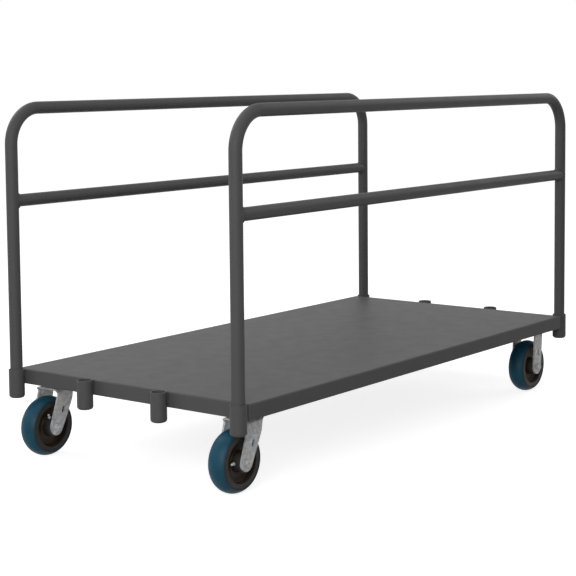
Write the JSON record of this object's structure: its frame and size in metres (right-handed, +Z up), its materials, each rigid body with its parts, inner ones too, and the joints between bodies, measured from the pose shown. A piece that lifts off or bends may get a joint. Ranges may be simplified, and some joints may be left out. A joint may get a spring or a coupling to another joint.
{
  "type": "panel cart",
  "caption": "Long flat steel deck cart with upright tube dividers along both sides that lift out of end sockets, swivel casters at one end and rigid casters at the other.",
  "frame": {"origin": "on the floor, under the middle of the deck", "axes": "+X along the deck towards the rigid casters, +Y across it to the left of someone who pushes from the swivel end, +Z up"},
  "size_m": [1.6117, 0.7682, 0.9039],
  "materials": {
    "grey_paint": "semi-gloss dark grey powder coat",
    "zinc_plate": "bright zinc plate, slightly mottled",
    "plain_steel": "plain ground steel, oiled",
    "blue_tread": "satin dark blue moulded tread",
    "dark_core": "dark grey-brown moulded core"
  },
  "bodies": {
    "cart_base": {"deck_pan": "grey_paint", "swivel_channel": "grey_paint", "rigid_channel": "grey_paint", "deck_stiffener": "grey_paint", "socket_swivel_end_1": "grey_paint", "socket_swivel_end_2": "grey_paint", "socket_swivel_end_3": "grey_paint", "socket_swivel_end_4": "grey_paint", "socket_rigid_end_1": "grey_paint", "socket_rigid_end_2": "grey_paint", "socket_rigid_end_3": "grey_paint", "socket_rigid_end_4": "grey_paint", "swivel_right_plate": "zinc_plate", "swivel_right_kingpin": "zinc_plate", "swivel_right_kingpin_nut": "zinc_plate", "swivel_left_plate": "zinc_plate", "swivel_left_kingpin": "zinc_plate", "swivel_left_kingpin_nut": "zinc_plate", "rigid_right_plate": "zinc_plate", "rigid_right_fork": "zinc_plate", "rigid_right_axle": "zinc_plate", "rigid_right_axle_nut": "zinc_plate", "rigid_right_sleeve": "plain_steel", "rigid_left_plate": "zinc_plate", "rigid_left_fork": "zinc_plate", "rigid_left_axle": "zinc_plate", "rigid_left_axle_nut": "zinc_plate", "rigid_left_sleeve": "plain_steel"},
    "divider_right": {"divider_right_hoop": "grey_paint", "divider_right_rail": "grey_paint"},
    "divider_left": {"divider_left_hoop": "grey_paint", "divider_left_rail": "grey_paint"},
    "swivel_right": {"swivel_right_balls": "plain_steel", "swivel_right_race": "zinc_plate", "swivel_right_fork": "zinc_plate", "swivel_right_axle": "zinc_plate", "swivel_right_axle_nut": "zinc_plate", "swivel_right_sleeve": "plain_steel"},
    "swivel_left": {"swivel_left_balls": "plain_steel", "swivel_left_race": "zinc_plate", "swivel_left_fork": "zinc_plate", "swivel_left_axle": "zinc_plate", "swivel_left_axle_nut": "zinc_plate", "swivel_left_sleeve": "plain_steel"},
    "swivel_right_wheel": {"swivel_right_rollers": "plain_steel", "swivel_right_core": "dark_core", "swivel_right_tread": "blue_tread", "swivel_right_grease_fitting": "zinc_plate"},
    "swivel_left_wheel": {"swivel_left_rollers": "plain_steel", "swivel_left_core": "dark_core", "swivel_left_tread": "blue_tread", "swivel_left_grease_fitting": "zinc_plate"},
    "rigid_right_wheel": {"rigid_right_rollers": "plain_steel", "rigid_right_core": "dark_core", "rigid_right_tread": "blue_tread", "rigid_right_grease_fitting": "zinc_plate"},
    "rigid_left_wheel": {"rigid_left_rollers": "plain_steel", "rigid_left_core": "dark_core", "rigid_left_tread": "blue_tread", "rigid_left_grease_fitting": "zinc_plate"}
  },
  "joints": [
    {"name": "divider_right_lift", "type": "slide", "parent": "cart_base", "child": "divider_right", "axis": [0, 0, 1], "range_m": [0, 0.1]},
    {"name": "divider_left_lift", "type": "slide", "parent": "cart_base", "child": "divider_left", "axis": [0, 0, 1], "range_m": [0, 0.1]},
    {"name": "swivel_right_turn", "type": "hinge", "parent": "cart_base", "child": "swivel_right", "pos_m": [-0.682, -0.3105, 0.1], "axis": [0, 0, 1], "continuous": true},
    {"name": "swivel_left_turn", "type": "hinge", "parent": "cart_base", "child": "swivel_left", "pos_m": [-0.682, 0.3105, 0.1], "axis": [0, 0, 1], "continuous": true},
    {"name": "swivel_right_roll", "type": "hinge", "parent": "swivel_right", "child": "swivel_right_wheel", "pos_m": [-0.733, -0.3105, 0.0762], "axis": [0, 1, 0], "continuous": true},
    {"name": "swivel_left_roll", "type": "hinge", "parent": "swivel_left", "child": "swivel_left_wheel", "pos_m": [-0.733, 0.3105, 0.0762], "axis": [0, 1, 0], "continuous": true},
    {"name": "rigid_right_roll", "type": "hinge", "parent": "cart_base", "child": "rigid_right_wheel", "pos_m": [0.6735, -0.3105, 0.0762], "axis": [0, 1, 0], "continuous": true},
    {"name": "rigid_left_roll", "type": "hinge", "parent": "cart_base", "child": "rigid_left_wheel", "pos_m": [0.6735, 0.3105, 0.0762], "axis": [0, 1, 0], "continuous": true}
  ]
}
